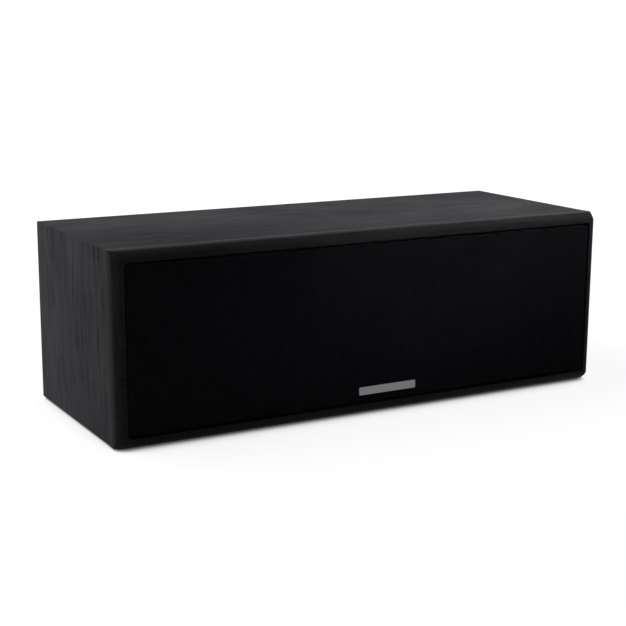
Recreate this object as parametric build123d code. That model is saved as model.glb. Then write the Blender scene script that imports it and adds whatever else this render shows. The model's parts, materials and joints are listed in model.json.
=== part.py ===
from build123d import *
import os
from math import asin, cos, hypot, radians, sin

# Center channel speaker, millimetres: X across, Y from front (minus) to rear (plus), Z up.
# The origin is on the floor, under the middle of the speaker.

# Cabinet
CABINET_WIDTH = 450.0
CABINET_HEIGHT = 150.0
SLEEVE_DEPTH = 157.0
WALL = 12.0
REAR_PANEL_THICKNESS = 12.0
FOOT_THICKNESS = 1.5
FOOT_RADIUS = 8.0
FOOT_INSET = 24.0

# Front baffle
BAFFLE_THICKNESS = 18.0
ROLL_RADIUS = 8.0
CORNER_DEPTH = 10.0
CORNER_INSET = 11.0
CORNER_FRONT_RADIUS = 8.2
BORDER_LAND = 0.3
GRILLE_RECESS_DEPTH = 6.0
RECESS_CORNER_RADIUS = 3.0

# Grille
GRILLE_GAP = 2.2
GRILLE_PROUD = 2.0
GRILLE_SEAT_GAP = 0.3
GRILLE_CORNER_RADIUS = 2.5
CLOTH_THICKNESS = 0.8
CLOTH_RETURN = 3.0
CLOTH_FIT = 0.05
FRAME_BAR = 9.5
FRAME_CROSS_BAR = 8.0
FRAME_WINDOW_RADIUS = 10.0
PEG_RADIUS = 3.5
PEG_LENGTH = 8.0
PEG_INSET = 8.0
PEG_FIT = 0.3
SOCKET_WALL = 1.6
SOCKET_LENGTH = 9.5
SOCKET_FIT = 0.1

# Woofers
WOOFER_SPACING = 255.0
WOOFER_FLANGE_WIDTH = 12.0
WOOFER_FLANGE_THICKNESS = 3.5
WOOFER_REBATE_FIT = 0.5
BASKET_MOUTH_RADIUS = 46.0
BASKET_WALL = 3.0
BASKET_DEPTH = 39.0
BASKET_FLOOR = 2.0
BASKET_BACK_RADIUS = 35.0
BASKET_BORE_RADIUS = 19.0
BASKET_WINDOWS = 4
BASKET_WINDOW_WIDTH = 30.0
BASKET_WINDOW_FRONT = 8.0
BASKET_HOLE_FIT = 0.6
SURROUND_ROLL = 4.2
SURROUND_THICKNESS = 0.9
SURROUND_LAP = 2.3
SURROUND_SPAN = 7.2
CONE_DEPTH = 19.0
CONE_THICKNESS = 1.5
COIL_RADIUS = 13.0
COIL_WALL = 0.6
COIL_GLUE_GAP = 0.15
COIL_FRONT_GAP = 0.5
COIL_GAP_DEPTH = 9.0
CAP_RADIUS = 17.0
CAP_HEIGHT = 4.2
CAP_GLUE_GAP = 0.25
SPIDER_DEPTH = 25.0
SPIDER_THICKNESS = 1.0
SPIDER_EDGE_GAP = 0.2
MOTOR_RADIUS = 36.0
MOTOR_LENGTH = 32.0
GAP_CLEARANCE = 0.7
GAP_DEPTH = 17.0
WOOFER_SCREW_INSET = 5.0
WOOFER_SCREWS = 4

# Tweeter
TWEETER_RADIUS = 44.0
TWEETER_PLATE = 4.0
HORN_MOUTH_RADIUS = 24.0
HORN_THROAT_RADIUS = 15.5
TWEETER_SURROUND_RADIUS = 18.0
TWEETER_SURROUND_THICKNESS = 0.5
DOME_RADIUS = 12.5
DOME_HEIGHT = 4.4
DOME_BACK = 0.6
DOME_EDGE_GAP = 0.2
DOME_COIL_LENGTH = 4.0
DOME_COIL_WALL = 0.5
TWEETER_MOTOR_RADIUS = 30.0
TWEETER_MOTOR_LENGTH = 26.0
TWEETER_GAP_CLEARANCE = 0.5
TWEETER_GAP_DEPTH = 9.0
TWEETER_POLE_DROP = 2.0
TWEETER_HOLE_FIT = 1.0
TWEETER_SCREW_INSET = 5.0
TWEETER_SCREWS = 4

# Fixing screws
SCREW_HEAD_RADIUS = 3.2
SCREW_HEAD = 2.0
SCREW_RADIUS = 1.6
SCREW_LENGTH = 11.0
SCREW_CLEARANCE = 0.4
PILOT_FIT = 0.1

# Tag strips and leads
TAG_WIDTH = 14.0
TAG_HEIGHT = 8.0
TAG_THICKNESS = 2.0
TWEETER_TAG_DROP = 24.0
WOOFER_TAG_RISE = 22.0
LEAD_WIDTH = 4.4
LEAD_THICKNESS = 2.2
LEAD_BEND = 16.0
LEAD_TURN_DEPTH = 20.0
LEAD_END_X = 41.0

# Terminal cup and binding posts
CUP_WIDTH = 84.0
CUP_HEIGHT = 64.0
CUP_FLANGE = 2.5
CUP_CORNER_RADIUS = 6.0
CUP_POCKET_WIDTH = 62.0
CUP_POCKET_HEIGHT = 42.0
CUP_POCKET_DEPTH = 18.0
CUP_WALL = 2.5
CUP_HOLE_FIT = 0.5
CUP_SCREW_INSET = 5.5
POST_SPACING = 19.0
STUD_RADIUS = 2.0
STUD_FIT = 0.1
STUD_COLLAR_RADIUS = 5.0
STUD_COLLAR = 2.0
INSERT_RADIUS = 4.0
INSERT_LENGTH = 9.0
INSERT_FIT = 0.15
KNOB_RADIUS = 6.5
KNOB_CROWN = 2.0
KNOB_SEAT_GAP = 0.3
KNOB_FLUTES = 8
KNOB_FLUTE_RADIUS = 1.2
NUT_WIDTH = 7.0
NUT_THICKNESS = 3.2

# Crossover
BOARD_WIDTH = 96.0
BOARD_HEIGHT = 64.0
BOARD_THICKNESS = 1.6
COIL_FORMER_RADIUS = 14.0
COIL_FORMER_BORE = 6.0
WOOFER_INDUCTOR_LENGTH = 16.0
TWEETER_INDUCTOR_RADIUS = 10.0
TWEETER_INDUCTOR_LENGTH = 11.0
CAPACITOR_RADIUS = 6.0
CAPACITOR_LENGTH = 26.0
CAPACITOR_PITCH = 14.0
RESISTOR_LENGTH = 22.0
RESISTOR_SIDE = 8.0

# Port and wadding
PORT_INSET = 95.0
PORT_RADIUS = 19.0
PORT_WALL = 2.0
PORT_LENGTH = 70.0
PORT_FLANGE_RADIUS = 31.0
PORT_FLANGE = 2.5
PORT_FLARE = 6.0
PORT_FIT = 0.3
WADDING_BOARD_GAP = 17.0
WADDING_HEIGHT = 112.0
WADDING_THICKNESS = 26.0
WADDING_WALL_GAP = 18.0

# How many straight facets stand for each round profile
SURROUND_FACETS = 4
CROWN_FACETS = 3
FLARE_FACETS = 3

# Places worked out from the sizes above
BOTTOM = FOOT_THICKNESS
MIDDLE = BOTTOM + CABINET_HEIGHT / 2
DEPTH = SLEEVE_DEPTH + BAFFLE_THICKNESS + GRILLE_PROUD
REAR = DEPTH / 2
SEAM = REAR - SLEEVE_DEPTH
BAFFLE_FRONT = SEAM - BAFFLE_THICKNESS
GRILLE_FRONT = BAFFLE_FRONT - GRILLE_PROUD
FLOOR = BAFFLE_FRONT + GRILLE_RECESS_DEPTH
PANEL_FRONT = REAR - REAR_PANEL_THICKNESS
RECESS_INSET = ROLL_RADIUS + BORDER_LAND
GRILLE_INSET = RECESS_INSET + GRILLE_GAP
GRILLE_WIDTH = CABINET_WIDTH - 2 * GRILLE_INSET
GRILLE_HEIGHT = CABINET_HEIGHT - 2 * GRILLE_INSET
GRILLE_BACK = FLOOR - GRILLE_SEAT_GAP
FRAME_WIDTH = GRILLE_WIDTH - 2 * (CLOTH_THICKNESS + CLOTH_FIT)
FRAME_HEIGHT = GRILLE_HEIGHT - 2 * (CLOTH_THICKNESS + CLOTH_FIT)
WOOFER_FLANGE_RADIUS = BASKET_MOUTH_RADIUS + WOOFER_FLANGE_WIDTH
CONE_RADIUS = BASKET_MOUTH_RADIUS - SURROUND_SPAN
WOOFER_SCREW_CIRCLE = 2 * (WOOFER_FLANGE_RADIUS - WOOFER_SCREW_INSET)
TWEETER_SCREW_CIRCLE = 2 * (TWEETER_RADIUS - TWEETER_SCREW_INSET)
WOOFER_X = {"left": -WOOFER_SPACING / 2, "right": WOOFER_SPACING / 2}
PEG_PLACES = [
    (sx * (FRAME_WIDTH / 2 - PEG_INSET), MIDDLE + sz * (FRAME_HEIGHT / 2 - PEG_INSET))
    for sx in (-1, 1)
    for sz in (-1, 1)
]
CUP_SCREW_PLACES = [
    (sx * (CUP_WIDTH / 2 - CUP_SCREW_INSET), MIDDLE + sz * (CUP_HEIGHT / 2 - CUP_SCREW_INSET))
    for sx in (-1, 1)
    for sz in (-1, 1)
]
CUP_FLOOR = REAR - CUP_POCKET_DEPTH
CUP_BACK = CUP_FLOOR - CUP_WALL
POST_X = {"red": -POST_SPACING / 2, "black": POST_SPACING / 2}
KNOB_SEAT = CUP_FLOOR + STUD_COLLAR + KNOB_SEAT_GAP
BOARD_BACK = CUP_BACK - NUT_THICKNESS
BOARD_FRONT = BOARD_BACK - BOARD_THICKNESS
PORT_X = CABINET_WIDTH / 2 - PORT_INSET
WADDING_WIDTH = (CABINET_WIDTH - BOARD_WIDTH) / 2 - WALL - WADDING_WALL_GAP - WADDING_BOARD_GAP
WADDING_X = WALL + WADDING_WALL_GAP + WADDING_WIDTH / 2 - CABINET_WIDTH / 2


def block(x, y, z, width, depth, height):
    """A box centred on x and z, reaching from y towards the rear."""
    return Pos(x, y + depth / 2, z) * Box(width, depth, height)


def plate(x, y, z, width, depth, height, radius):
    """A slab with rounded upright outline, reaching from y towards the rear."""
    outline = Plane.XZ * RectangleRounded(width, height, radius)
    return Pos(x, y, z) * extrude(outline, -depth)


def rod(x, y, z, radius, length):
    """A round bar along Y, reaching from y towards the rear."""
    return Pos(x, y + length / 2, z) * Rot(90, 0, 0) * Cylinder(radius, length)


def turned(points, x, y, z):
    """A piece turned about Y. Each point is a radius and a distance behind y."""
    return Pos(x, y, z) * revolve(make_face(Polyline(*points, close=True)), Axis.Y)


def bow(start, end, height, facets):
    """Points in order along a bow from start to end, which bulges by height to the front."""
    half = (end[0] - start[0]) / 2
    ball = (half**2 + height**2) / (2 * height)
    spread = asin(abs(half) / ball)
    turns = [spread * (2 * i / facets - 1) for i in range(facets + 1)]
    way = 1 if half > 0 else -1
    middle = start[0] + half
    return [(middle + way * ball * sin(t), start[1] - height + ball * (1 - cos(t))) for t in turns]


def crown(radius, rim, height):
    """Points of a domed front, from its rim to its middle."""
    return bow((radius, rim), (-radius, rim), height, 2 * CROWN_FACETS)[: CROWN_FACETS + 1]


def circle_places(x, z, circle, count):
    """The places of equally spaced holes, the first at 45 degrees."""
    angles = [radians(45 + 360 * i / count) for i in range(count)]
    return [(x + circle / 2 * cos(a), z + circle / 2 * sin(a)) for a in angles]


def screw(x, y, z, towards_rear):
    """A pan-head screw whose head rests on the face at y."""
    way = 1 if towards_rear else -1
    head = rod(x, min(y, y - way * SCREW_HEAD), z, SCREW_HEAD_RADIUS, SCREW_HEAD)
    shank = rod(x, min(y, y + way * SCREW_LENGTH), z, SCREW_RADIUS, SCREW_LENGTH)
    return head + shank


def save(node, *shapes):
    """Writes one piece, or one group of like pieces."""
    solids = [solid for shape in shapes for solid in shape.solids()]
    export_step(solids[0] if len(solids) == 1 else Compound(children=solids), f"parts/{node}.step")


def corner_waste(sx, sz):
    """What a cone takes off the mitre of two rolled edges, so that the corner is round."""
    x = sx * (CABINET_WIDTH / 2 - CORNER_INSET)
    z = MIDDLE + sz * (CABINET_HEIGHT / 2 - CORNER_INSET)
    corner = hypot(CORNER_INSET, CORNER_INSET)
    cone = turned([(0, 0), (CORNER_FRONT_RADIUS, 0), (corner, CORNER_DEPTH), (0, CORNER_DEPTH)], x, BAFFLE_FRONT, z)
    across = 2 * CORNER_INSET
    middle_x = x + sx * CORNER_INSET
    middle_z = z + sz * CORNER_INSET
    return block(middle_x, BAFFLE_FRONT, middle_z, across, CORNER_DEPTH, across) - cone


def cabinet():
    outer = block(0, SEAM, MIDDLE, CABINET_WIDTH, SLEEVE_DEPTH, CABINET_HEIGHT)
    inner = block(0, SEAM, MIDDLE, CABINET_WIDTH - 2 * WALL, SLEEVE_DEPTH, CABINET_HEIGHT - 2 * WALL)
    save("cabinet_sleeve", outer - inner)

    feet_x = CABINET_WIDTH / 2 - FOOT_INSET
    feet_y = (SEAM + FOOT_INSET, REAR - FOOT_INSET)
    foot = Pos(0, 0, FOOT_THICKNESS / 2) * Cylinder(FOOT_RADIUS, FOOT_THICKNESS)
    save("rubber_feet", *[Pos(x, y, 0) * foot for x in (-feet_x, feet_x) for y in feet_y])

    board = block(0, BAFFLE_FRONT, MIDDLE, CABINET_WIDTH, BAFFLE_THICKNESS, CABINET_HEIGHT)
    board = fillet(board.faces().sort_by(Axis.Y)[0].outer_wire().edges(), ROLL_RADIUS)
    for sx in (-1, 1):
        for sz in (-1, 1):
            board -= corner_waste(sx, sz)
    board -= plate(
        0,
        BAFFLE_FRONT,
        MIDDLE,
        CABINET_WIDTH - 2 * RECESS_INSET,
        GRILLE_RECESS_DEPTH,
        CABINET_HEIGHT - 2 * RECESS_INSET,
        RECESS_CORNER_RADIUS,
    )
    for x in WOOFER_X.values():
        board -= rod(x, FLOOR, MIDDLE, WOOFER_FLANGE_RADIUS + WOOFER_REBATE_FIT, WOOFER_FLANGE_THICKNESS)
        mouth = BASKET_MOUTH_RADIUS + BASKET_WALL + BASKET_HOLE_FIT
        board -= rod(x, FLOOR, MIDDLE, mouth, BAFFLE_THICKNESS)
        for px, pz in circle_places(x, MIDDLE, WOOFER_SCREW_CIRCLE, WOOFER_SCREWS):
            board -= rod(px, FLOOR, pz, SCREW_RADIUS + PILOT_FIT, SCREW_LENGTH + PILOT_FIT)
    board -= rod(0, FLOOR, MIDDLE, TWEETER_RADIUS + WOOFER_REBATE_FIT, TWEETER_PLATE)
    board -= rod(0, FLOOR, MIDDLE, TWEETER_MOTOR_RADIUS + TWEETER_HOLE_FIT, BAFFLE_THICKNESS)
    for px, pz in circle_places(0, MIDDLE, TWEETER_SCREW_CIRCLE, TWEETER_SCREWS):
        board -= rod(px, FLOOR, pz, SCREW_RADIUS + PILOT_FIT, SCREW_LENGTH + PILOT_FIT)
    socket_radius = PEG_RADIUS + PEG_FIT + SOCKET_WALL
    for px, pz in PEG_PLACES:
        board -= rod(px, FLOOR, pz, socket_radius + SOCKET_FIT, SOCKET_LENGTH)
    save("front_baffle", board)

    panel = block(
        0,
        PANEL_FRONT,
        MIDDLE,
        CABINET_WIDTH - 2 * WALL,
        REAR_PANEL_THICKNESS,
        CABINET_HEIGHT - 2 * WALL,
    )
    pocket_width = CUP_POCKET_WIDTH + 2 * (CUP_WALL + CUP_HOLE_FIT)
    pocket_height = CUP_POCKET_HEIGHT + 2 * (CUP_WALL + CUP_HOLE_FIT)
    panel -= block(0, PANEL_FRONT, MIDDLE, pocket_width, REAR_PANEL_THICKNESS, pocket_height)
    panel -= plate(
        0,
        REAR - CUP_FLANGE,
        MIDDLE,
        CUP_WIDTH + 2 * CUP_HOLE_FIT,
        CUP_FLANGE,
        CUP_HEIGHT + 2 * CUP_HOLE_FIT,
        CUP_CORNER_RADIUS + CUP_HOLE_FIT,
    )
    for px, pz in CUP_SCREW_PLACES:
        depth = min(SCREW_LENGTH + PILOT_FIT, REAR_PANEL_THICKNESS)
        panel -= rod(px, REAR - SCREW_HEAD - depth, pz, SCREW_RADIUS + PILOT_FIT, depth)
    panel -= rod(PORT_X, PANEL_FRONT, MIDDLE, PORT_RADIUS + PORT_WALL + PORT_FIT, REAR_PANEL_THICKNESS)
    panel -= rod(PORT_X, REAR - PORT_FLANGE, MIDDLE, PORT_FLANGE_RADIUS + PORT_FIT, PORT_FLANGE)
    save("rear_panel", panel)


def grille():
    frame_front = GRILLE_FRONT + CLOTH_THICKNESS + CLOTH_FIT
    thickness = GRILLE_BACK - frame_front
    radius = GRILLE_CORNER_RADIUS - CLOTH_THICKNESS
    frame = plate(0, frame_front, MIDDLE, FRAME_WIDTH, thickness, FRAME_HEIGHT, radius)
    shoulder = GRILLE_FRONT + CLOTH_RETURN + CLOTH_FIT
    frame += plate(
        0, shoulder, MIDDLE, GRILLE_WIDTH, GRILLE_BACK - shoulder, GRILLE_HEIGHT, GRILLE_CORNER_RADIUS
    )
    window_height = FRAME_HEIGHT - 2 * FRAME_BAR
    bar_x = (WOOFER_SPACING / 2 - WOOFER_FLANGE_RADIUS + TWEETER_RADIUS) / 2
    middle_width = 2 * bar_x - FRAME_CROSS_BAR
    side_width = FRAME_WIDTH / 2 - FRAME_BAR - bar_x - FRAME_CROSS_BAR / 2
    side_x = bar_x + FRAME_CROSS_BAR / 2 + side_width / 2
    for x, width in ((0, middle_width), (-side_x, side_width), (side_x, side_width)):
        frame -= plate(x, frame_front, MIDDLE, width, thickness, window_height, FRAME_WINDOW_RADIUS)
    for px, pz in PEG_PLACES:
        frame += rod(px, GRILLE_BACK, pz, PEG_RADIUS, PEG_LENGTH)
    save("grille_frame", frame)

    cloth = plate(0, GRILLE_FRONT, MIDDLE, GRILLE_WIDTH, CLOTH_RETURN, GRILLE_HEIGHT, GRILLE_CORNER_RADIUS)
    cloth -= plate(
        0,
        GRILLE_FRONT + CLOTH_THICKNESS,
        MIDDLE,
        GRILLE_WIDTH - 2 * CLOTH_THICKNESS,
        CLOTH_RETURN,
        GRILLE_HEIGHT - 2 * CLOTH_THICKNESS,
        radius,
    )
    save("grille_cloth", cloth)

    bore = PEG_RADIUS + PEG_FIT
    tube = [(bore, 0), (bore + SOCKET_WALL, 0), (bore + SOCKET_WALL, SOCKET_LENGTH), (bore, SOCKET_LENGTH)]
    save("grille_sockets", *[turned(tube, px, FLOOR, pz) for px, pz in PEG_PLACES])


def basket(x):
    mouth = BASKET_MOUTH_RADIUS
    seat = BASKET_BACK_RADIUS - BASKET_WALL * 2 / 3
    floor = BASKET_DEPTH - BASKET_FLOOR
    shell = turned(
        [
            (mouth, 0),
            (WOOFER_FLANGE_RADIUS, 0),
            (WOOFER_FLANGE_RADIUS, WOOFER_FLANGE_THICKNESS),
            (mouth + BASKET_WALL, WOOFER_FLANGE_THICKNESS),
            (BASKET_BACK_RADIUS, BASKET_DEPTH),
            (BASKET_BORE_RADIUS, BASKET_DEPTH),
            (BASKET_BORE_RADIUS, floor),
            (seat, floor),
        ],
        x,
        FLOOR,
        MIDDLE,
    )
    reach = mouth + BASKET_WALL
    length = floor - BASKET_WINDOW_FRONT - BASKET_FLOOR
    for i in range(BASKET_WINDOWS):
        window = Pos(reach / 2 + BASKET_BORE_RADIUS / 2, BASKET_WINDOW_FRONT + length / 2, 0) * Box(
            reach - BASKET_BORE_RADIUS, length, BASKET_WINDOW_WIDTH
        )
        shell -= Pos(x, FLOOR, MIDDLE) * Rot(0, 360 * i / BASKET_WINDOWS, 0) * window
    for px, pz in circle_places(x, MIDDLE, WOOFER_SCREW_CIRCLE, WOOFER_SCREWS):
        shell -= rod(px, FLOOR, pz, SCREW_RADIUS + SCREW_CLEARANCE, WOOFER_FLANGE_THICKNESS)
    return shell


def surround(x):
    """A half-round roll that laps onto the flange and onto the rim of the cone."""
    outer = BASKET_MOUTH_RADIUS + SURROUND_LAP
    inner = CONE_RADIUS - SURROUND_LAP
    front = bow((outer, 0), (inner, 0), SURROUND_ROLL, SURROUND_FACETS)
    back = bow((CONE_RADIUS, 0), (BASKET_MOUTH_RADIUS, 0), SURROUND_ROLL - SURROUND_THICKNESS, SURROUND_FACETS)
    return turned(front + back, x, FLOOR, MIDDLE)


def cone_front(radius):
    """How far the front of the cone lies behind the flange at this radius."""
    neck = COIL_RADIUS + COIL_GLUE_GAP
    rim = CONE_RADIUS - SURROUND_LAP
    return CONE_DEPTH * (rim - radius) / (rim - neck)


def moving_woofer_pieces(side, x):
    neck = COIL_RADIUS + COIL_GLUE_GAP
    cone = [
        (CONE_RADIUS, 0),
        (CONE_RADIUS - SURROUND_LAP, 0),
        (neck, CONE_DEPTH),
        (neck, CONE_DEPTH + CONE_THICKNESS),
    ]
    save(f"woofer_{side}_cone", turned(cone, x, FLOOR, MIDDLE))

    rim = cone_front(CAP_RADIUS) - CAP_GLUE_GAP
    cap = [*crown(CAP_RADIUS, rim, CAP_HEIGHT), (0, rim)]
    save(f"woofer_{side}_dust_cap", turned(cap, x, FLOOR, MIDDLE))

    front = rim + COIL_FRONT_GAP
    back = BASKET_DEPTH + COIL_GAP_DEPTH
    inside = COIL_RADIUS - COIL_WALL
    coil = [(inside, front), (COIL_RADIUS, front), (COIL_RADIUS, back), (inside, back)]
    save(f"woofer_{side}_voice_coil", turned(coil, x, FLOOR, MIDDLE))


def spider(x):
    seat = BASKET_BACK_RADIUS - BASKET_WALL * 2 / 3
    floor = BASKET_DEPTH - BASKET_FLOOR
    back = SPIDER_DEPTH + SPIDER_THICKNESS
    rim = BASKET_MOUTH_RADIUS + (seat - BASKET_MOUTH_RADIUS) * back / floor - SPIDER_EDGE_GAP
    hub = COIL_RADIUS + COIL_GLUE_GAP
    disc = [(hub, SPIDER_DEPTH), (rim, SPIDER_DEPTH), (rim, back), (hub, back)]
    return turned(disc, x, FLOOR, MIDDLE)


def motor(x, front, radius, length, coil, coil_wall, clearance, gap_depth, pole_drop):
    """A shielded motor: its closed can, with the ring-shaped gap that the coil moves in."""
    outer = coil + clearance
    pole = coil - coil_wall - clearance
    return turned(
        [
            (0, pole_drop),
            (pole, pole_drop),
            (pole, gap_depth),
            (outer, gap_depth),
            (outer, 0),
            (radius, 0),
            (radius, length),
            (0, length),
        ],
        x,
        front,
        MIDDLE,
    )


def woofers():
    places = WOOFER_X.values()
    save("woofer_baskets", *[basket(x) for x in places])
    save("woofer_surrounds", *[surround(x) for x in places])
    save("woofer_spiders", *[spider(x) for x in places])
    for side, x in WOOFER_X.items():
        moving_woofer_pieces(side, x)
    front = FLOOR + BASKET_DEPTH
    save(
        "woofer_motors",
        *[
            motor(x, front, MOTOR_RADIUS, MOTOR_LENGTH, COIL_RADIUS, COIL_WALL, GAP_CLEARANCE, GAP_DEPTH, 0)
            for x in places
        ],
    )
    screw_places = [p for x in places for p in circle_places(x, MIDDLE, WOOFER_SCREW_CIRCLE, WOOFER_SCREWS)]
    save("woofer_screws", *[screw(px, FLOOR, pz, True) for px, pz in screw_places])


def tweeter():
    back = TWEETER_PLATE
    plate_ring = turned(
        [
            (TWEETER_RADIUS, 0),
            (HORN_MOUTH_RADIUS, 0),
            (HORN_THROAT_RADIUS, back),
            (TWEETER_RADIUS, back),
        ],
        0,
        FLOOR,
        MIDDLE,
    )
    screw_places = circle_places(0, MIDDLE, TWEETER_SCREW_CIRCLE, TWEETER_SCREWS)
    for px, pz in screw_places:
        plate_ring -= rod(px, FLOOR, pz, SCREW_RADIUS + SCREW_CLEARANCE, TWEETER_PLATE)
    save("tweeter_faceplate", plate_ring)
    save("tweeter_screws", *[screw(px, FLOOR, pz, True) for px, pz in screw_places])

    ring_back = back + TWEETER_SURROUND_THICKNESS
    hole = DOME_RADIUS + DOME_EDGE_GAP
    ring = [
        (hole, back),
        (TWEETER_SURROUND_RADIUS, back),
        (TWEETER_SURROUND_RADIUS, ring_back),
        (hole, ring_back),
    ]
    save("tweeter_surround", turned(ring, 0, FLOOR, MIDDLE))

    dome = turned(
        [
            *crown(DOME_RADIUS, ring_back, DOME_HEIGHT),
            (0, ring_back + DOME_BACK),
            (DOME_RADIUS - DOME_COIL_WALL, ring_back + DOME_BACK),
            (DOME_RADIUS - DOME_COIL_WALL, ring_back + DOME_COIL_LENGTH),
            (DOME_RADIUS, ring_back + DOME_COIL_LENGTH),
        ],
        0,
        FLOOR,
        MIDDLE,
    )
    save("tweeter_dome", dome)
    save(
        "tweeter_motor",
        motor(
            0,
            FLOOR + ring_back,
            TWEETER_MOTOR_RADIUS,
            TWEETER_MOTOR_LENGTH,
            DOME_RADIUS,
            DOME_COIL_WALL,
            TWEETER_GAP_CLEARANCE,
            TWEETER_GAP_DEPTH,
            TWEETER_POLE_DROP,
        ),
    )


def flat_lead(points):
    """A flat twin lead along a route, its width upright, with one bend radius at the corners."""
    path = FilletPolyline(*points, radius=LEAD_BEND) if len(points) > 2 else Line(*points)
    section = Plane(origin=path @ 0, x_dir=(0, 0, 1), z_dir=path % 0)
    return sweep(section * Rectangle(LEAD_WIDTH, LEAD_THICKNESS), path=path)


def tags_and_leads():
    woofer_back = FLOOR + BASKET_DEPTH + MOTOR_LENGTH
    tweeter_back = FLOOR + TWEETER_PLATE + TWEETER_SURROUND_THICKNESS + TWEETER_MOTOR_LENGTH
    rise = MIDDLE + WOOFER_TAG_RISE
    drop = MIDDLE - TWEETER_TAG_DROP
    tags = [block(x, woofer_back, rise, TAG_WIDTH, TAG_THICKNESS, TAG_HEIGHT) for x in WOOFER_X.values()]
    tags.append(block(0, tweeter_back, drop, TAG_WIDTH, TAG_THICKNESS, TAG_HEIGHT))
    save("driver_tag_strips", *tags)

    start = woofer_back + TAG_THICKNESS
    for side, x in WOOFER_X.items():
        end_x = LEAD_END_X if x > 0 else -LEAD_END_X
        turn = start + LEAD_TURN_DEPTH
        route = [(x, start, rise), (x, turn, rise), (end_x, turn, rise), (end_x, BOARD_FRONT, rise)]
        save(f"woofer_{side}_lead", flat_lead(route))
    save("tweeter_lead", flat_lead([(0, tweeter_back + TAG_THICKNESS, drop), (0, BOARD_FRONT, drop)]))


def terminals():
    flange = plate(0, REAR - CUP_FLANGE, MIDDLE, CUP_WIDTH, CUP_FLANGE, CUP_HEIGHT, CUP_CORNER_RADIUS)
    tub_width = CUP_POCKET_WIDTH + 2 * CUP_WALL
    tub_height = CUP_POCKET_HEIGHT + 2 * CUP_WALL
    cup = flange + block(0, CUP_BACK, MIDDLE, tub_width, REAR - CUP_BACK, tub_height)
    cup -= block(0, CUP_FLOOR, MIDDLE, CUP_POCKET_WIDTH, CUP_POCKET_DEPTH, CUP_POCKET_HEIGHT)
    for x in POST_X.values():
        cup -= rod(x, CUP_BACK, MIDDLE, STUD_RADIUS + STUD_FIT, CUP_WALL)
    for px, pz in CUP_SCREW_PLACES:
        cup -= rod(px, REAR - SCREW_HEAD, pz, SCREW_HEAD_RADIUS + SCREW_CLEARANCE, SCREW_HEAD)
        cup -= rod(px, REAR - CUP_FLANGE, pz, SCREW_RADIUS + SCREW_CLEARANCE, CUP_FLANGE)
    save("terminal_cup", cup)
    save("terminal_screws", *[screw(px, REAR - SCREW_HEAD, pz, False) for px, pz in CUP_SCREW_PLACES])

    stud_back = BOARD_FRONT - NUT_THICKNESS
    stud_end = KNOB_SEAT + INSERT_LENGTH
    studs = []
    nuts = []
    for color, x in POST_X.items():
        stud = rod(x, stud_back, MIDDLE, STUD_RADIUS, stud_end - stud_back)
        studs.append(stud + rod(x, CUP_FLOOR, MIDDLE, STUD_COLLAR_RADIUS, STUD_COLLAR))
        for y in (BOARD_BACK, stud_back):
            hexagon = Plane.XZ * RegularPolygon(NUT_WIDTH / 2, 6, major_radius=False)
            nut = Pos(x, y, MIDDLE) * extrude(hexagon, -NUT_THICKNESS)
            nuts.append(nut - rod(x, y, MIDDLE, STUD_RADIUS + STUD_FIT, NUT_THICKNESS))

        insert = rod(x, KNOB_SEAT, MIDDLE, INSERT_RADIUS, INSERT_LENGTH)
        insert -= rod(x, KNOB_SEAT, MIDDLE, STUD_RADIUS + INSERT_FIT, INSERT_LENGTH)
        save(f"{color}_knob_insert", insert)

        bore = INSERT_LENGTH + INSERT_FIT
        cap = rod(x, KNOB_SEAT, MIDDLE, KNOB_RADIUS, bore + KNOB_CROWN)
        cap -= rod(x, KNOB_SEAT, MIDDLE, INSERT_RADIUS + INSERT_FIT, bore)
        for i in range(KNOB_FLUTES):
            angle = radians(360 * i / KNOB_FLUTES)
            flute_x = x + KNOB_RADIUS * cos(angle)
            flute_z = MIDDLE + KNOB_RADIUS * sin(angle)
            cap -= rod(flute_x, KNOB_SEAT, flute_z, KNOB_FLUTE_RADIUS, bore + KNOB_CROWN)
        save(f"{color}_knob", cap)
    save("binding_studs", *studs)
    save("stud_nuts", *nuts)


def crossover():
    board = block(0, BOARD_FRONT, MIDDLE, BOARD_WIDTH, BOARD_THICKNESS, BOARD_HEIGHT)
    for x in POST_X.values():
        board -= rod(x, BOARD_FRONT, MIDDLE, STUD_RADIUS + STUD_FIT, BOARD_THICKNESS)
    save("crossover_board", board)

    def wound(x, z, radius, length):
        coil = rod(x, BOARD_FRONT - length, z, radius, length)
        return coil - rod(x, BOARD_FRONT - length, z, COIL_FORMER_BORE, length)

    top = MIDDLE + BOARD_HEIGHT / 2
    foot = MIDDLE - BOARD_HEIGHT / 2
    woofer_z = top - COIL_FORMER_RADIUS
    tweeter_z = foot + TWEETER_INDUCTOR_RADIUS
    coil_x = BOARD_WIDTH / 4
    save("woofer_inductor", wound(-coil_x + LEAD_WIDTH, woofer_z, COIL_FORMER_RADIUS, WOOFER_INDUCTOR_LENGTH))
    save("tweeter_inductor", wound(-coil_x, tweeter_z, TWEETER_INDUCTOR_RADIUS, TWEETER_INDUCTOR_LENGTH))
    cans = []
    for i in range(2):
        z = top - CAPACITOR_RADIUS - i * CAPACITOR_PITCH
        lying = Rot(0, 90, 0) * Cylinder(CAPACITOR_RADIUS, CAPACITOR_LENGTH)
        cans.append(Pos(coil_x, BOARD_FRONT - CAPACITOR_RADIUS, z) * lying)
    save("capacitors", *cans)
    resistor_z = foot + RESISTOR_SIDE
    save(
        "resistor",
        block(coil_x, BOARD_FRONT - RESISTOR_SIDE, resistor_z, RESISTOR_LENGTH, RESISTOR_SIDE, RESISTOR_SIDE),
    )


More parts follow.
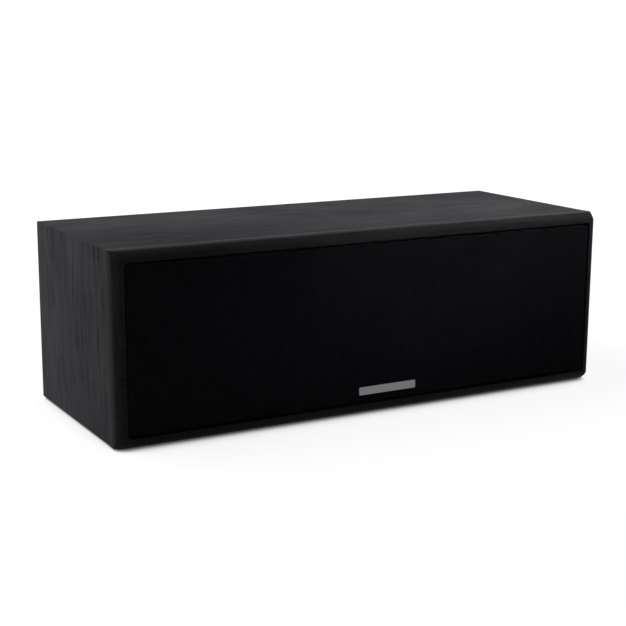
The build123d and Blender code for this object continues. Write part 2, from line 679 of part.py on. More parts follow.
def port_and_wadding():
    tube = PORT_RADIUS + PORT_WALL
    lip = PORT_RADIUS + PORT_FLARE
    turns = [radians(90 * i / FLARE_FACETS) for i in range(FLARE_FACETS + 1)]
    flare = [(lip - PORT_FLARE * sin(t), PORT_FLARE * (cos(t) - 1)) for t in turns]
    port = turned(
        [
            *flare,
            (PORT_RADIUS, -PORT_LENGTH),
            (tube, -PORT_LENGTH),
            (tube, -PORT_FLANGE),
            (PORT_FLANGE_RADIUS, -PORT_FLANGE),
            (PORT_FLANGE_RADIUS, 0),
        ],
        PORT_X,
        REAR,
        MIDDLE,
    )
    save("port_tube", port)
    wadding_front = PANEL_FRONT - WADDING_THICKNESS
    save(
        "damping_wadding",
        block(WADDING_X, wadding_front, MIDDLE, WADDING_WIDTH, WADDING_THICKNESS, WADDING_HEIGHT),
    )


os.makedirs("parts", exist_ok=True)
cabinet()
grille()
woofers()
tweeter()
tags_and_leads()
terminals()
crossover()
port_and_wadding()
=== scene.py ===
import json
import math

import bmesh
import bpy
from mathutils import Matrix, Vector, noise


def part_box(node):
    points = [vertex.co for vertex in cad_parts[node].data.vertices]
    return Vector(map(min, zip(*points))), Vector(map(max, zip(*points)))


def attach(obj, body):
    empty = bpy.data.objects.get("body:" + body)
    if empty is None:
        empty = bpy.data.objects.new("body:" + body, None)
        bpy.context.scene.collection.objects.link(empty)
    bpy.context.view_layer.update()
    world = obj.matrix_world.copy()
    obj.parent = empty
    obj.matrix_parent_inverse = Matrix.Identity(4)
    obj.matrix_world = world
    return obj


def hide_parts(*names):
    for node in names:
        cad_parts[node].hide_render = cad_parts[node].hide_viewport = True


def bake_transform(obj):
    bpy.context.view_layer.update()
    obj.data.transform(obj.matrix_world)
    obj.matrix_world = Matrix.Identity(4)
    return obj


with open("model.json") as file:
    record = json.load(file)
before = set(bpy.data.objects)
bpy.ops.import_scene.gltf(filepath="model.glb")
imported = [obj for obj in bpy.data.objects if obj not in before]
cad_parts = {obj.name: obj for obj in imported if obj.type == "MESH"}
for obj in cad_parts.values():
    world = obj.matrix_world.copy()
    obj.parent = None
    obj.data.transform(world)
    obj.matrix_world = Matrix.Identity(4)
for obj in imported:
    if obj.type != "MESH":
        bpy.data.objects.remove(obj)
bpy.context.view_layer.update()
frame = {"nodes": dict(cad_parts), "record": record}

MM = 0.001

# Camera of the photograph: degrees, millimetres and pixels of the square image
CAMERA_AZIMUTH = -29.291
CAMERA_ELEVATION = 12.331
CAMERA_ROLL = 0.316
CAMERA_DISTANCE = 1184.8
CAMERA_RIGHT = -10.33
CAMERA_UP = 66.20
CAMERA_NEAREST = 10.0
CAMERA_FARTHEST = 100000.0
FOCAL_PIXELS = 1354.6
IMAGE_PIXELS = 626
SENSOR_WIDTH = 36.0

# Lamps: places and sizes in metres, power in watts, the width of the beam in degrees
LAMPS = {
    "key_softbox": {
        "place": (0.78, -0.22, 0.8), "target": (0.15, 0.0, 0.1), "size": (0.55, 0.55), "watts": 2.9,
    },
    "roll_softbox": {
        "place": (0.34, -0.58, 0.38), "target": (0.16, -0.085, 0.168), "size": (0.42, 0.06), "watts": 0.17,
        "beam": 29.0,
    },
    "overhead_softbox": {
        "place": (-0.95, 0.5, 1.5), "target": (-0.2, 0.0, 0.1), "size": (1.5, 1.2), "watts": 21.0,
    },
    "left_softbox": {
        "place": (-1.9, 0.15, 0.28), "target": (0.0, 0.0, 0.06), "size": (1.2, 0.5), "watts": 3.9,
    },
}
FULL_BEAM = 180.0

# Light of the surroundings, from the front and from the rear
WORLD_FRONT = 0.06
WORLD_REAR = 0.34

# Floor, in metres: its shadow is full up to the near distance and gone at the far one
FLOOR_RADIUS = 8.0
FLOOR_SEGMENTS = 64
FLOOR_NEAR = 0.4
FLOOR_FAR = 1.0

# Paper of the floor: its level for the lamps and for the camera, and the glow that the camera sees
FLOOR_PAPER = 0.8
FLOOR_SHADE = 0.2
FLOOR_GLOW = 0.86

# Contact shade of the floor: its reach in metres, and how open a spot has to be to have none
CONTACT_REACH = 0.05
CONTACT_OPEN = 0.6

# Noise lies mostly between these levels
NOISE_LOW = 0.3
NOISE_HIGH = 0.7

# Moulded and painted finishes: patches in grains, levels of the tone, and how far the gloss varies
MOTTLE_PATCH = 40
MOTTLE_LOW = 0.35
MOTTLE_HIGH = 0.65
MOTTLE_GLOSS = 0.12

# Wood-grain film: waves per metre along and across the grain
FILM_SWAY = (8.0, 14.0)
FILM_CLOUDS = (9.0, 13.0)
FILM_STREAKS = (16.0, 140.0)
FILM_PORES = (38.0, 580.0)
FILM_FLECKS = (900.0, 1500.0)

# Wood-grain film: levels where a pattern begins and where it is full
FILM_STREAK_LEVELS = (0.3, 0.65)
FILM_PORE_LEVELS = (0.47, 0.36)
FILM_THIN_LEVELS = (0.38, 0.62)
FILM_THIN_PORES = 0.25
FILM_TONE_LEVELS = (-0.1, 0.9)
FILM_GLOSS_LEVELS = (0.0, 0.9)

# Wood-grain film: how far the grain sways, and its relief
FILM_SWAY_REACH = 22.0 * MM
FILM_RELIEF = 0.05 * MM

# Wood-grain film on the sides: the shift to another stretch, and how squarely a face has to look that way
FILM_SIDE_SHIFT = 3.7
FILM_FACING = 0.7

# Knit of the grille cloth: its loops, its patches per metre, and how much of the view it covers
KNIT_PITCH = 0.85 * MM
KNIT_YARN = 0.4 * MM
KNIT_RELIEF = 0.05 * MM
KNIT_ROW_SHIFT = 0.6
KNIT_PATCHES = 14.0
KNIT_COVER = 0.955

# Band on the capacitors
BAND_X = 14.5 * MM
BAND_HALF_WIDTH = 1.2 * MM

# Meshes: welding, angles in degrees and steps of round forms
WELD_DISTANCE = 0.002 * MM
FLAT_ANGLE = 0.5
EASED_ANGLE = 35.0
EASED_SEGMENTS = 2
SHARP_ANGLE = 38.0
LATHE_STEPS = 96
ON_AXIS = 1e-6 * MM
SAME_HEIGHT = 0.001 * MM
CORNER_STEPS = 8

# Grille cloth
CLOTH_SETBACK = 0.5 * MM
CLOTH_EDGE_RADIUS = 1.6 * MM
CLOTH_CORNER_RADIUS = 2.5 * MM
CLOTH_LEAST_RADIUS = 0.4 * MM

# Bare plate on the cloth
BADGE_WIDTH = 54.0 * MM
BADGE_HEIGHT = 6.6 * MM
BADGE_THICKNESS = 0.45 * MM
BADGE_RISE = 9.5 * MM
BADGE_SHIFT = 9.0 * MM
BADGE_CORNER_RADIUS = 1.2 * MM
BADGE_LEAST_RADIUS = 0.3 * MM
BADGE_EDGE_ROUND = 0.3
BADGE_RIM = 0.7 * MM
BADGE_RECESS = 0.12 * MM

# Woofers
SURROUND_LAP = 2.3 * MM
SURROUND_THICKNESS = 0.9 * MM
SURROUND_SKIN = 0.45 * MM
SURROUND_EDGE = 0.3 * MM
SURROUND_FOOT = 0.6 * MM
SURROUND_SECTORS = 24
SURROUND_STEPS = 8
SURROUND_ROLL_STEPS = 20
COIL_CLEARANCE = 0.15 * MM
CONE_THICKNESS = 1.0 * MM
CONE_RIBS = 5
CONE_RIB_HEIGHT = 0.25 * MM
CONE_RIB_POWER = 6
CONE_RIBS_START = 0.05
CONE_RIBS_END = 0.75
CONE_BOW = 0.6 * MM
CONE_STEPS = 60
CAP_STEPS = 20
CAP_HOLLOW = 0.2 * MM
CAP_LIP = 1.0 * MM
SPIDER_WAVES = 5
SPIDER_WAVE_HEIGHT = 1.2 * MM
SPIDER_WAVE_STEPS = 12
SPIDER_FADE = 6

# Tweeter
DOME_THICKNESS = 0.4 * MM
DOME_STEPS = 24
ROLL_GAP = 0.2 * MM
ROLL_REACH = 3.0 * MM
ROLL_HEIGHT = 1.0 * MM
ROLL_STEPS = 14

# Ways along Y
REARWARD = 1
FORWARD = -1

# Screws: the face and the straight side of the head are shares of its radius and height
SCREW_HEAD_RADIUS = 3.2 * MM
SCREW_HEAD_HEIGHT = 2.0 * MM
SCREW_FACE = 0.55
SCREW_SIDE = 0.35
SCREW_CROWN_STEPS = 6
SCREW_FACE_RINGS = 8
SCREW_STEPS = 32
SCREW_RADIUS = 1.6 * MM
SCREW_THREAD_PITCH = 1.0 * MM
SCREW_THREAD_DEPTH = 0.35 * MM
SCREW_TIP_TURNS = 2
CROSS_REACH = 2.1 * MM
CROSS_WIDTH = 0.55 * MM
CROSS_DEPTH = 1.1 * MM
CROSS_END = 0.35

# Port
PORT_BORE_RADIUS = 19.0 * MM
PORT_FLARE = 6.0 * MM
PORT_FLARE_STEPS = 14
PORT_FLANGE = 2.5 * MM
PORT_WALL = 2.0 * MM
PORT_LIP = 0.6 * MM
PORT_LIP_STEPS = 4

# Wadding: how far its edges pinch in and its lumps stand out, as shares of its half sizes
WADDING_CUTS = 15
WADDING_PINCH = 0.10
WADDING_LUMP = 0.04
WADDING_LUMP_BIAS = 0.6
WADDING_LUMPS = 3.1

# Round of the eased edges
EASED = {
    "cabinet_sleeve": 0.9 * MM,
    "front_baffle": 0.35 * MM,
    "rear_panel": 0.4 * MM,
    "grille_frame": 0.4 * MM,
    "rubber_feet": 0.4 * MM,
    "terminal_cup": 0.5 * MM,
    "red_knob": 0.35 * MM,
    "black_knob": 0.35 * MM,
    "tweeter_faceplate": 0.3 * MM,
    "woofer_baskets": 0.3 * MM,
    "resistor": 0.6 * MM,
    "capacitors": 0.8 * MM,
}


# Places read from the frame

def middle_of(node):
    low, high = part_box(node)
    return (low + high) / 2


def radius_of(node):
    low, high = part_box(node)
    return (high.z - low.z) / 2


MIDDLE_Z = middle_of("cabinet_sleeve").z
WOOFER_CENTRES = {side: (middle_of(f"woofer_{side}_cone").x, MIDDLE_Z) for side in ("left", "right")}
TWEETER_CENTRE = (0.0, MIDDLE_Z)
BODY_OF = {node: body for body, nodes in frame["record"]["behaviour"]["bodies"].items() for node in nodes}
SLOT_OF = {row["node"]: row["material_slot"] for row in frame["record"]["subparts"]}


# Shader nodes

class Graph:
    """The nodes of one material or of the world."""

    def __init__(self, tree):
        self.tree = tree

    def node(self, kind, inputs, output=0, **settings):
        """Makes a node, sets or feeds its inputs and hands back one of its outputs."""
        made = self.tree.nodes.new(kind)
        for key, value in settings.items():
            setattr(made, key, value)
        for key, value in inputs.items():
            if isinstance(value, bpy.types.NodeSocket):
                self.tree.links.new(value, made.inputs[key])
            else:
                made.inputs[key].default_value = value
        return made.outputs[output]

    def place(self):
        """The place on the object, in metres."""
        return self.node("ShaderNodeTexCoord", {}, "Object")

    def split(self, vector):
        made = self.tree.nodes.new("ShaderNodeSeparateXYZ")
        self.tree.links.new(vector, made.inputs[0])
        return made.outputs[0], made.outputs[1], made.outputs[2]

    def join(self, x, y, z):
        return self.node("ShaderNodeCombineXYZ", {0: x, 1: y, 2: z})

    def math(self, operation, a, b=0.0):
        return self.node("ShaderNodeMath", {0: a, 1: b}, operation=operation)

    def total(self, *parts):
        """The sum of parts, each a value and its weight."""
        terms = [self.math("MULTIPLY", value, weight) for value, weight in parts]
        result = terms[0]
        for term in terms[1:]:
            result = self.math("ADD", result, term)
        return result

    def wave(self, value, pitch):
        """A sine along a place in metres."""
        return self.math("SINE", self.math("MULTIPLY", value, 2 * math.pi / pitch))

    def scaled(self, vector, x, y, z=1.0):
        return self.node("ShaderNodeVectorMath", {0: vector, 1: (x, y, z)}, operation="MULTIPLY")

    def noise(self, vector, scale=1.0, detail=3.0, roughness=0.5, distortion=0.0):
        inputs = {
            "Vector": vector,
            "Scale": scale,
            "Detail": detail,
            "Roughness": roughness,
            "Distortion": distortion,
        }
        return self.node("ShaderNodeTexNoise", inputs)

    def remap(self, value, low, high, to_low=0.0, to_high=1.0):
        inputs = {"Value": value, 1: low, 2: high, 3: to_low, 4: to_high}
        return self.node("ShaderNodeMapRange", inputs)

    def stretch(self, value, to_low=0.0, to_high=1.0):
        """Noise stretched over a range."""
        return self.remap(value, NOISE_LOW, NOISE_HIGH, to_low, to_high)

    def choose(self, factor, a, b):
        """A number between two others."""
        return self.node("ShaderNodeMix", {0: factor, 2: a, 3: b})

    def seen_ray(self):
        """1 on a ray from the camera, or one that a mirror or glass sends on."""
        path = self.tree.nodes.new("ShaderNodeLightPath").outputs
        seen = self.math("MAXIMUM", path["Is Camera Ray"], path["Is Glossy Ray"])
        return self.math("MAXIMUM", seen, path["Is Transmission Ray"])


class Surface(Graph):
    """One procedural material: a principled shader and the nodes that feed it."""

    def __init__(self, name, color, roughness, metallic=0.0, specular=0.5):
        self.material = bpy.data.materials.new(name)
        self.material.use_nodes = True
        super().__init__(self.material.node_tree)
        self.shader = self.tree.nodes["Principled BSDF"]
        self.set("Base Color", (*color, 1.0))
        self.set("Roughness", roughness)
        self.set("Metallic", metallic)
        self.set("Specular IOR Level", specular)

    def set(self, socket, value):
        """Sets a socket of the shader to a constant, or feeds it from another node."""
        if isinstance(value, bpy.types.NodeSocket):
            self.tree.links.new(value, self.shader.inputs[socket])
        else:
            self.shader.inputs[socket].default_value = value

    def tint(self, factor, dark, light):
        """Colours the surface between two colours of three values each."""
        inputs = {0: factor, 6: (*dark, 1.0), 7: (*light, 1.0)}
        self.set("Base Color", self.node("ShaderNodeMix", inputs, 2, data_type="RGBA"))

    def bump(self, height, distance):
        self.set("Normal", self.node("ShaderNodeBump", {"Height": height, "Distance": distance}))


# Materials

def grey(level):
    return (level, level, level)


def mottled(name, dark, light, roughness, grain, relief, specular=0.5):
    """A moulded, painted or pressed finish: tone, gloss and relief vary with a grain of the given size."""
    made = Surface(name, dark, roughness, specular=specular)
    place = made.place()
    fine = made.noise(place, 1 / grain, detail=2.0)
    broad = made.noise(place, 1 / (grain * MOTTLE_PATCH))
    made.tint(made.remap(made.total((fine, 0.5), (broad, 0.5)), MOTTLE_LOW, MOTTLE_HIGH), dark, light)
    made.set("Roughness", made.stretch(broad, roughness - MOTTLE_GLOSS, roughness + MOTTLE_GLOSS))
    made.bump(fine, relief)
    return made


def grain_film(name, dark, light, matt, gloss, specular):
    """Black wood-grain film: open pores along the grain, upright on the sides and elsewhere crosswise."""
    made = Surface(name, dark, matt, specular=specular)
    x, y, z = made.split(made.place())
    normal_x, normal_y, _ = made.split(made.node("ShaderNodeTexCoord", {}, "Normal"))
    on_side = made.math("GREATER_THAN", made.math("ABSOLUTE", normal_x), FILM_FACING)
    on_end = made.math("GREATER_THAN", made.math("ABSOLUTE", normal_y), FILM_FACING)
    along = made.choose(on_side, x, z)
    across = made.choose(on_end, y, z)
    stretch_of_film = made.math("MULTIPLY", on_side, FILM_SIDE_SHIFT)
    straight = made.join(along, across, stretch_of_film)
    sway = made.noise(made.scaled(straight, *FILM_SWAY))
    swayed = made.math("ADD", across, made.math("MULTIPLY", sway, FILM_SWAY_REACH))
    bent = made.join(along, swayed, stretch_of_film)
    streaks = made.noise(made.scaled(bent, *FILM_STREAKS), detail=4.0, roughness=0.6)
    pores = made.noise(made.scaled(bent, *FILM_PORES), detail=2.0)
    clouds = made.noise(made.scaled(straight, *FILM_CLOUDS))
    flecks = made.noise(made.scaled(straight, *FILM_FLECKS), detail=1.0)
    share = made.remap(clouds, *FILM_THIN_LEVELS, 1.0, FILM_THIN_PORES)
    dashes = made.math("MULTIPLY", made.remap(pores, *FILM_PORE_LEVELS), share)
    tone = made.total(
        (made.remap(streaks, *FILM_STREAK_LEVELS), 0.4),
        (made.stretch(clouds), 0.36),
        (flecks, 0.2),
        (dashes, -0.5),
    )
    made.tint(made.remap(tone, *FILM_TONE_LEVELS), dark, light)
    made.set("Roughness", made.remap(tone, *FILM_GLOSS_LEVELS, matt, gloss))
    made.bump(made.total((streaks, 0.6), (dashes, -1.0)), FILM_RELIEF)
    return made


def knit_cloth():
    """Black stretched knit: rows of small loops, thin enough to see through a little."""
    made = Surface("knit_cloth", (0.010, 0.010, 0.0115), 0.95, specular=0.0)
    x, _, z = made.split(made.place())
    rows = made.wave(z, KNIT_PITCH)
    shift = made.math("MULTIPLY", made.wave(z, 2 * KNIT_PITCH), KNIT_ROW_SHIFT)
    turns = made.math("MULTIPLY", x, 2 * math.pi / KNIT_PITCH)
    loops = made.math("SINE", made.math("ADD", turns, shift))
    weave = made.math("MULTIPLY", made.math("ADD", rows, 1.0), made.math("ADD", loops, 1.0))
    yarn = made.noise(made.place(), 1 / KNIT_YARN, detail=2.0)
    patches = made.noise(made.place(), KNIT_PATCHES, detail=2.0)
    tone = made.total((weave, 0.18), (yarn, 0.3), (patches, 0.25))
    made.tint(made.remap(tone, 0.1, 1.0), (0.0028, 0.0028, 0.0033), (0.0112, 0.0112, 0.0132))
    made.set("Alpha", KNIT_COVER)
    made.bump(weave, KNIT_RELIEF)
    return made


def brushed_plate():
    """Pale metal with fine lines along it."""
    made = Surface("brushed_plate", (0.3, 0.3, 0.307), 0.42, specular=0.4)
    lines = made.noise(made.scaled(made.place(), 60.0, 60.0, 9000.0), detail=2.0)
    made.tint(lines, (0.24, 0.24, 0.247), (0.38, 0.38, 0.388))
    made.set("Roughness", made.stretch(lines, 0.36, 0.5))
    made.bump(lines, distance=0.01 * MM)
    return made


def cone_paper():
    """Pressed black paper with a coat: fibres show as fine specks and streaks."""
    made = Surface("cone_paper", (0.02, 0.02, 0.021), 0.7, specular=0.2)
    place = made.place()
    fibres = made.noise(place, scale=1 / (0.9 * MM), detail=4.0, roughness=0.7, distortion=1.2)
    broad = made.noise(place, scale=45.0)
    tone = made.total((fibres, 0.7), (broad, 0.3))
    made.tint(made.stretch(tone), (0.014, 0.014, 0.015), (0.036, 0.036, 0.038))
    made.set("Roughness", made.stretch(fibres, 0.6, 0.8))
    made.bump(fibres, distance=0.06 * MM)
    return made


def woven(name, dark, light, pitch, roughness, sheen=0.0):
    """A fine plain weave across the front of a pressed cloth piece."""
    made = Surface(name, dark, roughness, specular=0.25)
    x, _, z = made.split(made.place())
    weave = made.math("MULTIPLY", made.wave(x, pitch), made.wave(z, pitch))
    flecks = made.noise(made.place(), scale=1 / (3 * pitch), detail=2.0)
    tone = made.total((weave, 0.2), (flecks, 1.0))
    made.tint(made.remap(tone, 0.25, 0.75), dark, light)
    made.set("Sheen Weight", sheen)
    made.bump(weave, distance=0.25 * pitch)
    return made


def wound_wire(name, dark, light, pitch):
    """Enamelled wire wound side by side along Y."""
    made = Surface(name, dark, 0.3, metallic=1.0)
    _, y, _ = made.split(made.place())
    spots = made.noise(made.place(), scale=300.0, detail=2.0)
    made.tint(spots, dark, light)
    made.set("Roughness", made.stretch(spots, 0.22, 0.4))
    made.bump(made.wave(y, pitch), distance=0.3 * pitch)
    return made


def plated_metal(name, dark, light, roughness):
    """Bright metal, a little smeared."""
    made = Surface(name, dark, roughness, metallic=1.0)
    smear = made.noise(made.place(), scale=160.0, detail=4.0, roughness=0.6)
    made.tint(made.stretch(smear), dark, light)
    made.set("Roughness", made.stretch(smear, roughness - 0.06, roughness + 0.1))
    made.bump(made.noise(made.place(), scale=2500.0, detail=1.0), distance=0.004 * MM)
    return made


def fibre_fill():
    """White fibre, tangled."""
    made = Surface("fibre_fill", (0.78, 0.78, 0.76), 0.95, specular=0.1)
    strands = made.noise(made.place(), scale=350.0, detail=5.0, roughness=0.75, distortion=2.5)
    made.tint(strands, (0.62, 0.62, 0.60), (0.86, 0.86, 0.85))
    made.set("Sheen Weight", 0.3)
    made.bump(strands, distance=1.2 * MM)
    return made


def banded_sleeve():
    """A film sleeve with one plain band near its end."""
    made = Surface("capacitor_sleeve", (0.5, 0.36, 0.05), 0.3)
    x, _, _ = made.split(made.place())
    from_band = made.math("ABSOLUTE", made.math("SUBTRACT", x, BAND_X))
    off_band = made.math("GREATER_THAN", from_band, BAND_HALF_WIDTH)
    spots = made.noise(made.place(), scale=220.0, detail=2.0)
    film = made.math("MULTIPLY", off_band, made.stretch(spots, 0.75, 1.0))
    made.tint(film, (0.06, 0.05, 0.03), (0.52, 0.38, 0.05))
    made.bump(spots, distance=0.05 * MM)
    return made


SURFACES = {
    "vinyl_wrap": grain_film(
        "vinyl_film", (0.019, 0.0185, 0.0205), (0.057, 0.056, 0.062), matt=0.85, gloss=0.7, specular=0.015
    ),
    # The front takes the same wood-grain film as the sides, painted about four times darker as shade on the
    # front, where little light falls
    "baffle_finish": grain_film(
        "front_film_painted_shade", (0.0048, 0.0048, 0.0052), (0.0135, 0.0135, 0.0143), matt=0.56, gloss=0.46, specular=0.02
    ),
    "rear_board": mottled(
        "rear_board", grey(0.012), grey(0.022), 0.7, grain=0.8 * MM, relief=0.05 * MM, specular=0.25
    ),
    "grille_cloth": knit_cloth(),
    "grille_frame": mottled(
        "grille_frame", grey(0.010), grey(0.016), 0.6, grain=0.6 * MM, relief=0.02 * MM, specular=0.3
    ),
    "rubber": mottled(
        "rubber", grey(0.010), grey(0.017), 0.62, grain=0.5 * MM, relief=0.012 * MM, specular=0.22
    ),
    "basket_steel": mottled(
        "basket_steel", (0.012, 0.012, 0.013), (0.020, 0.020, 0.021), 0.45,
        grain=0.7 * MM, relief=0.012 * MM, specular=0.25,
    ),
    "cone_paper": cone_paper(),
    "dust_cap": woven("dust_cap", (0.012, 0.012, 0.013), (0.026, 0.026, 0.028), 0.55 * MM, 0.6),
    "spider_cloth": woven("spider_cloth", (0.36, 0.24, 0.07), (0.50, 0.36, 0.13), 0.8 * MM, 0.8),
    "coil_copper": wound_wire("coil_copper", (0.60, 0.25, 0.12), (0.80, 0.40, 0.22), 0.45 * MM),
    "motor_steel": plated_metal("motor_steel", (0.34, 0.34, 0.35), (0.48, 0.48, 0.50), 0.35),
    "faceplate": mottled(
        "faceplate", (0.009, 0.009, 0.010), (0.015, 0.015, 0.016), 0.55,
        grain=0.35 * MM, relief=0.02 * MM, specular=0.18,
    ),
    "dome_silk": woven("dome_silk", (0.010, 0.010, 0.012), (0.022, 0.022, 0.026), 0.3 * MM, 0.5, sheen=0.2),
    "screw_steel": plated_metal("screw_steel", (0.025, 0.025, 0.027), (0.05, 0.05, 0.052), 0.38),
    "terminal_plastic": mottled(
        "terminal_plastic", grey(0.010), grey(0.017), 0.48, grain=0.45 * MM, relief=0.015 * MM, specular=0.45
    ),
    "brass": plated_metal("gilt_brass", (0.66, 0.46, 0.16), (0.84, 0.64, 0.28), 0.24),
    "red_knob": mottled(
        "red_knob", (0.42, 0.008, 0.010), (0.52, 0.014, 0.016), 0.28, grain=0.9 * MM, relief=0.006 * MM
    ),
    "black_knob": mottled(
        "black_knob", grey(0.009), grey(0.014), 0.28, grain=0.9 * MM, relief=0.006 * MM
    ),
    "board": mottled(
        "board", (0.20, 0.11, 0.035), (0.30, 0.18, 0.07), 0.65, grain=1.2 * MM, relief=0.03 * MM
    ),
    "capacitor": banded_sleeve(),
    "resistor": mottled(
        "resistor", (0.58, 0.56, 0.50), (0.74, 0.72, 0.66), 0.75, grain=0.5 * MM, relief=0.05 * MM
    ),
    "wadding": fibre_fill(),
    "lead": mottled("lead", grey(0.012), grey(0.02), 0.5, grain=0.8 * MM, relief=0.02 * MM),
    "tag": mottled(
        "tag", (0.16, 0.075, 0.025), (0.25, 0.13, 0.05), 0.6, grain=0.6 * MM, relief=0.02 * MM
    ),
}
BADGE_SURFACE = brushed_plate()


# Meshes

def new_piece(name, made, slot):
    """A smooth mesh object from a bmesh, with sharp edges kept and the slot's material on it."""
    bmesh.ops.recalc_face_normals(made, faces=made.faces)
    mesh = bpy.data.meshes.new(name)
    made.to_mesh(mesh)
    made.free()
    mesh.shade_smooth()
    mesh.set_sharp_from_angle(angle=math.radians(SHARP_ANGLE))
    mesh.materials.append(SURFACES[slot].material)
    piece = bpy.data.objects.new(name, mesh)
    bpy.context.scene.collection.objects.link(piece)
    return piece


def seated(piece, body, node):
    """The piece rides on a body and stands for the node."""
    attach(piece, body)
    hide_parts(node)


def turn_profile(made, profile, centre, start=0.0, turn=360.0, steps=LATHE_STEPS, closed=False):
    """Turns points of (radius, y) about the line along Y through centre (x, z)."""
    whole = turn >= 360.0
    count = steps if whole else steps + 1
    angles = [math.radians(start + turn * i / steps) for i in range(count)]
    ways = [(math.cos(a), math.sin(a)) for a in angles]
    rings = []
    for radius, y in profile:
        if radius < ON_AXIS:
            rings.append([made.verts.new((centre[0], y, centre[1]))] * count)
        else:
            places = [(centre[0] + radius * x, y, centre[1] + radius * z) for x, z in ways]
            rings.append([made.verts.new(place) for place in places])
    pairs = list(zip(rings, rings[1:]))
    if closed:
        pairs.append((rings[-1], rings[0]))
    last = count if whole else count - 1
    for inner, outer in pairs:
        for i in range(last):
            j = (i + 1) % count
            corners = []
            for vert in (inner[i], inner[j], outer[j], outer[i]):
                if vert not in corners:
                    corners.append(vert)
            if len(corners) > 2:
                made.faces.new(corners)


def lathe(name, slot, profile, centre, **options):
    """A piece turned from a closed profile."""
    made = bmesh.new()
    turn_profile(made, profile, centre, closed=True, **options)
    return new_piece(name, made, slot)


def arc(centre, radius, start, end, steps):
    """Points of an arc in the (radius, y) plane, angles in degrees."""
    angles = [math.radians(start + (end - start) * i / steps) for i in range(steps + 1)]
    return [(centre[0] + radius * math.cos(a), centre[1] + radius * math.sin(a)) for a in angles]


def bow(start, end, height, steps):
    """Points along a bow between two radii at one y, bulging to the front by height."""
    half = (end[0] - start[0]) / 2
    ball = (half**2 + height**2) / (2 * height)
    spread = math.asin(abs(half) / ball)
    way = 1 if half > 0 else -1
    middle = start[0] + half
    top = start[1] - height
    turns = [spread * (2 * i / steps - 1) for i in range(steps + 1)]
    return [(middle + way * ball * math.sin(t), top + ball * (1 - math.cos(t))) for t in turns]


def domed(reach, rim, top, steps):
    """Points of a domed front from its rim to its middle."""
    points = bow((reach, rim), (-reach, rim), rim - top, 2 * steps)[:steps]
    return [*points, (0.0, top)]


def outline(width, height, radius):
    """Points (x, z) round a rectangle with rounded corners, about its middle."""
    points = []
    for quarter, (sx, sz) in enumerate(((1, 1), (-1, 1), (-1, -1), (1, -1))):
        for i in range(CORNER_STEPS + 1):
            a = math.radians(90 * (quarter + i / CORNER_STEPS))
            x = sx * (width / 2 - radius) + radius * math.cos(a)
            z = sz * (height / 2 - radius) + radius * math.sin(a)
            points.append((x, z))
    return points


def stacked(sections, middle, width, height, corner, least):
    """A bmesh of rounded rectangles, each drawn in by its inset at its y, and its rings."""
    made = bmesh.new()
    rings = []
    for inset, y in sections:
        points = outline(width - 2 * inset, height - 2 * inset, max(corner - inset, least))
        rings.append([made.verts.new((middle[0] + x, y, middle[1] + z)) for x, z in points])
    for first, second in zip(rings, rings[1:]):
        for i in range(len(first)):
            j = (i + 1) % len(first)
            made.faces.new((first[i], first[j], second[j], second[i]))
    return made, rings


# Pieces

def ease_edges(node, edge):
    """A copy of a node whose sharp edges are eased by a small round."""
    made = bmesh.new()
    made.from_mesh(frame["nodes"][node].data)
    bmesh.ops.remove_doubles(made, verts=made.verts, dist=WELD_DISTANCE)
    bmesh.ops.dissolve_limit(
        made,
        angle_limit=math.radians(FLAT_ANGLE),
        verts=made.verts,
        edges=made.edges,
        use_dissolve_boundaries=False,
    )
    limit = math.radians(EASED_ANGLE)
    sharp = [e for e in made.edges if len(e.link_faces) == 2 and e.calc_face_angle() > limit]
    bmesh.ops.bevel(
        made,
        geom=sharp,
        offset=edge,
        segments=EASED_SEGMENTS,
        profile=0.5,
        affect="EDGES",
        clamp_overlap=True,
    )
    bmesh.ops.triangulate(made, faces=[f for f in made.faces if len(f.verts) > 4])
    seated(new_piece(f"{node}_eased", made, SLOT_OF[node]), BODY_OF[node], node)


def grille_sheet():
    """The cloth: round the edge of the frame, over a small round, and flat across the front."""
    low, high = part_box("grille_cloth")
    middle = ((low.x + high.x) / 2, (low.z + high.z) / 2)
    front = low.y + CLOTH_SETBACK
    width = high.x - low.x
    height = high.z - low.z
    sections = [(0.0, high.y)]
    for i in range(CORNER_STEPS + 1):
        a = math.pi / 2 * i / CORNER_STEPS
        inset = CLOTH_EDGE_RADIUS * (1 - math.cos(a))
        sections.append((inset, front + CLOTH_EDGE_RADIUS * (1 - math.sin(a))))
    made, rings = stacked(sections, middle, width, height, CLOTH_CORNER_RADIUS, CLOTH_LEAST_RADIUS)
    made.faces.new(rings[-1])
    piece = new_piece("grille_cloth_sheet", made, "grille_cloth")
    seated(piece, "grille", "grille_cloth")


def badge():
    """A bare plate with a raised rim, low on the cloth and a little right of its middle."""
    low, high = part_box("grille_cloth")
    back = low.y + CLOTH_SETBACK
    front = back - BADGE_THICKNESS
    middle = ((low.x + high.x) / 2 + BADGE_SHIFT, low.z + BADGE_RISE)
    edge = BADGE_THICKNESS / 2
    sections = (
        (0.0, back),
        (0.0, front + edge),
        (edge * BADGE_EDGE_ROUND, front + edge * BADGE_EDGE_ROUND),
        (edge, front),
        (BADGE_RIM, front),
        (BADGE_RIM + BADGE_RECESS, front + BADGE_RECESS),
    )
    made, rings = stacked(
        sections, middle, BADGE_WIDTH, BADGE_HEIGHT, BADGE_CORNER_RADIUS, BADGE_LEAST_RADIUS
    )
    made.faces.new(rings[0])
    made.faces.new(rings[-1])
    piece = new_piece("bare_plate", made, "grille_frame")
    piece.data.materials[0] = BADGE_SURFACE.material
    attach(piece, "grille")


